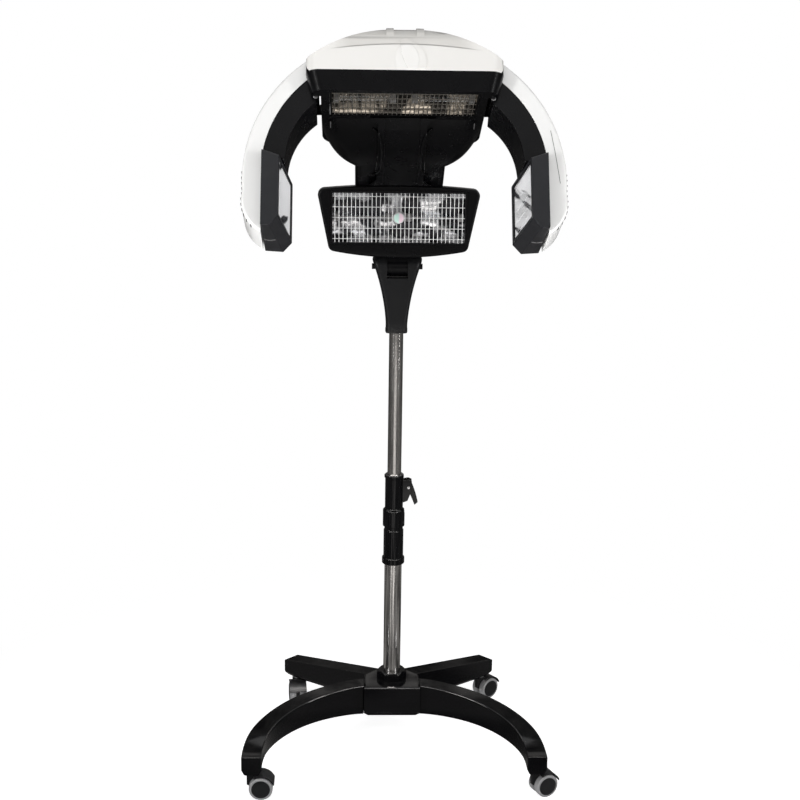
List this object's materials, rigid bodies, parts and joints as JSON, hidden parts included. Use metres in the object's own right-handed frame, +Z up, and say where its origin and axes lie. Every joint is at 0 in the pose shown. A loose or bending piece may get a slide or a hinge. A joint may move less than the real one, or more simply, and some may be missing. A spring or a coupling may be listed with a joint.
{
  "type": "hair color processor",
  "caption": "Free-standing salon hair colour processor: infrared lamp hood with hinged side lamp arms and a nape lamp on a height-adjustable mast with a castered base.",
  "frame": {"origin": "on the floor under the middle of the object's box at rest", "axes": "+Z up; -Y is the side the client sits at; +X to the right when the lamps are faced"},
  "size_m": [0.6684, 0.6859, 1.5709],
  "materials": {
    "gloss_black_metal": "high gloss black paint",
    "black_shell": "satin to gloss black moulding",
    "white_shell": "gloss white moulding",
    "black_mould": "fine grained black moulding",
    "chrome_tube": "polished chrome plate",
    "grey_tread": "grey tread",
    "steel": "turned and brushed",
    "bright_wire": "bright nickel wire",
    "mirror_reflector": "polished and dimpled",
    "quartz": "clear quartz with ceramic ends",
    "sensor_lens": "dark tinted lens in a steel ring",
    "bush": "natural acetal",
    "green_button": "gloss green",
    "panel_grey": "fine textured"
  },
  "bodies": {
    "base": {"base_hub": "gloss_black_metal", "front_left_leg": "gloss_black_metal", "front_right_leg": "gloss_black_metal", "rear_left_leg": "gloss_black_metal", "rear_right_leg": "gloss_black_metal", "leg_screws": "steel", "mast_nut": "gloss_black_metal", "lower_tube": "chrome_tube", "sleeve_ring": "gloss_black_metal", "clamp_sleeve": "gloss_black_metal", "slide_bush": "bush", "clamp_pin": "steel", "caster_front_left_stem": "steel", "caster_front_right_stem": "steel", "caster_rear_left_stem": "steel", "caster_rear_right_stem": "steel"},
    "clamp_lever": {"clamp_lever": "black_mould"},
    "mast": {"upper_tube": "chrome_tube", "tilt_fork": "black_mould", "tilt_pin": "steel"},
    "head": {"tilt_lug": "black_mould", "nape_bezel": "black_shell", "nape_shell": "black_shell", "nape_grille": "bright_wire", "nape_reflector": "mirror_reflector", "nape_lamps": "quartz", "temperature_sensor": "sensor_lens", "lower_cowl": "black_shell", "column_cover": "black_shell", "hood_frame": "black_shell", "hood_cap": "white_shell", "hood_grille": "bright_wire", "hood_reflector": "mirror_reflector", "hood_lamps": "quartz", "arm_pins": "steel", "control_panel": "panel_grey", "mains_inlet": "black_mould"},
    "timer_knob": {"timer_knob": "black_mould"},
    "start_button": {"start_button": "green_button"},
    "power_switch": {"power_switch": "black_mould"},
    "left_arm": {"left_arm_cover": "white_shell", "left_arm_liner": "black_shell", "left_lamp_box": "black_shell", "left_grille": "bright_wire", "left_reflector": "mirror_reflector", "left_lamps": "quartz"},
    "right_arm": {"right_arm_cover": "white_shell", "right_arm_liner": "black_shell", "right_lamp_box": "black_shell", "right_grille": "bright_wire", "right_reflector": "mirror_reflector", "right_lamps": "quartz"},
    "caster_front_left_swivel": {"caster_front_left_housing": "black_mould"},
    "caster_front_left_wheel": {"caster_front_left_wheels": "grey_tread"},
    "caster_front_right_swivel": {"caster_front_right_housing": "black_mould"},
    "caster_front_right_wheel": {"caster_front_right_wheels": "grey_tread"},
    "caster_rear_left_swivel": {"caster_rear_left_housing": "black_mould"},
    "caster_rear_left_wheel": {"caster_rear_left_wheels": "grey_tread"},
    "caster_rear_right_swivel": {"caster_rear_right_housing": "black_mould"},
    "caster_rear_right_wheel": {"caster_rear_right_wheels": "grey_tread"}
  },
  "joints": [
    {"name": "caster_front_left_swivel", "type": "hinge", "parent": "base", "child": "caster_front_left_swivel", "pos_m": [-0.3131, -0.1738, 0.06], "axis": [0, 0, 1], "continuous": true},
    {"name": "caster_front_left_roll", "type": "hinge", "parent": "caster_front_left_swivel", "child": "caster_front_left_wheel", "pos_m": [-0.2941, -0.1738, 0.025], "axis": [0, 1, 0], "continuous": true},
    {"name": "caster_front_right_swivel", "type": "hinge", "parent": "base", "child": "caster_front_right_swivel", "pos_m": [0.2829, -0.1738, 0.06], "axis": [0, 0, 1], "continuous": true},
    {"name": "caster_front_right_roll", "type": "hinge", "parent": "caster_front_right_swivel", "child": "caster_front_right_wheel", "pos_m": [0.30026, -0.16607, 0.025], "axis": [-0.4067, 0.9135, 0], "continuous": true},
    {"name": "caster_rear_right_swivel", "type": "hinge", "parent": "base", "child": "caster_rear_right_swivel", "pos_m": [0.2038, 0.2981, 0.06], "axis": [0, 0, 1], "continuous": true},
    {"name": "caster_rear_right_roll", "type": "hinge", "parent": "caster_rear_right_swivel", "child": "caster_rear_right_wheel", "pos_m": [0.21877, 0.3098, 0.025], "axis": [-0.6157, 0.788, 0], "continuous": true},
    {"name": "caster_rear_left_swivel", "type": "hinge", "parent": "base", "child": "caster_rear_left_swivel", "pos_m": [-0.234, 0.2981, 0.06], "axis": [0, 0, 1], "continuous": true},
    {"name": "caster_rear_left_roll", "type": "hinge", "parent": "caster_rear_left_swivel", "child": "caster_rear_left_wheel", "pos_m": [-0.23201, 0.2792, 0.025], "axis": [0.9945, 0.1045, 0], "continuous": true},
    {"name": "clamp_lever_turn", "type": "hinge", "parent": "base", "child": "clamp_lever", "pos_m": [0.0159, 0.0852, 0.6], "axis": [0, -1, 0], "range_deg": [0, 80]},
    {"name": "height_slide", "type": "slide", "parent": "base", "child": "mast", "axis": [0, 0, 1], "range_m": [-0.22, 0.2]},
    {"name": "head_tilt", "type": "hinge", "parent": "mast", "child": "head", "pos_m": [-0.0151, 0.0852, 1.083], "axis": [1, 0, 0], "range_deg": [-25, 20]},
    {"name": "left_arm_swing", "type": "hinge", "parent": "head", "child": "left_arm", "pos_m": [-0.1831, -0.14699, 1.44152], "axis": [0, 0.891, -0.454], "range_deg": [0, 25]},
    {"name": "right_arm_swing", "type": "hinge", "parent": "head", "child": "right_arm", "pos_m": [0.1529, -0.14699, 1.44152], "axis": [0, -0.891, 0.454], "range_deg": [0, 25]},
    {"name": "timer_turn", "type": "hinge", "parent": "head", "child": "timer_knob", "pos_m": [-0.0601, 0.1142, 1.205], "axis": [0, 1, 0], "range_deg": [0, 300]},
    {"name": "start_press", "type": "slide", "parent": "head", "child": "start_button", "axis": [0, -1, 0], "range_m": [0, 0.0016], "stiffness_N_per_m": 800},
    {"name": "power_rock", "type": "hinge", "parent": "head", "child": "power_switch", "pos_m": [0.0359, 0.1117, 1.205], "axis": [-1, 0, 0], "range_deg": [0, 8]}
  ]
}
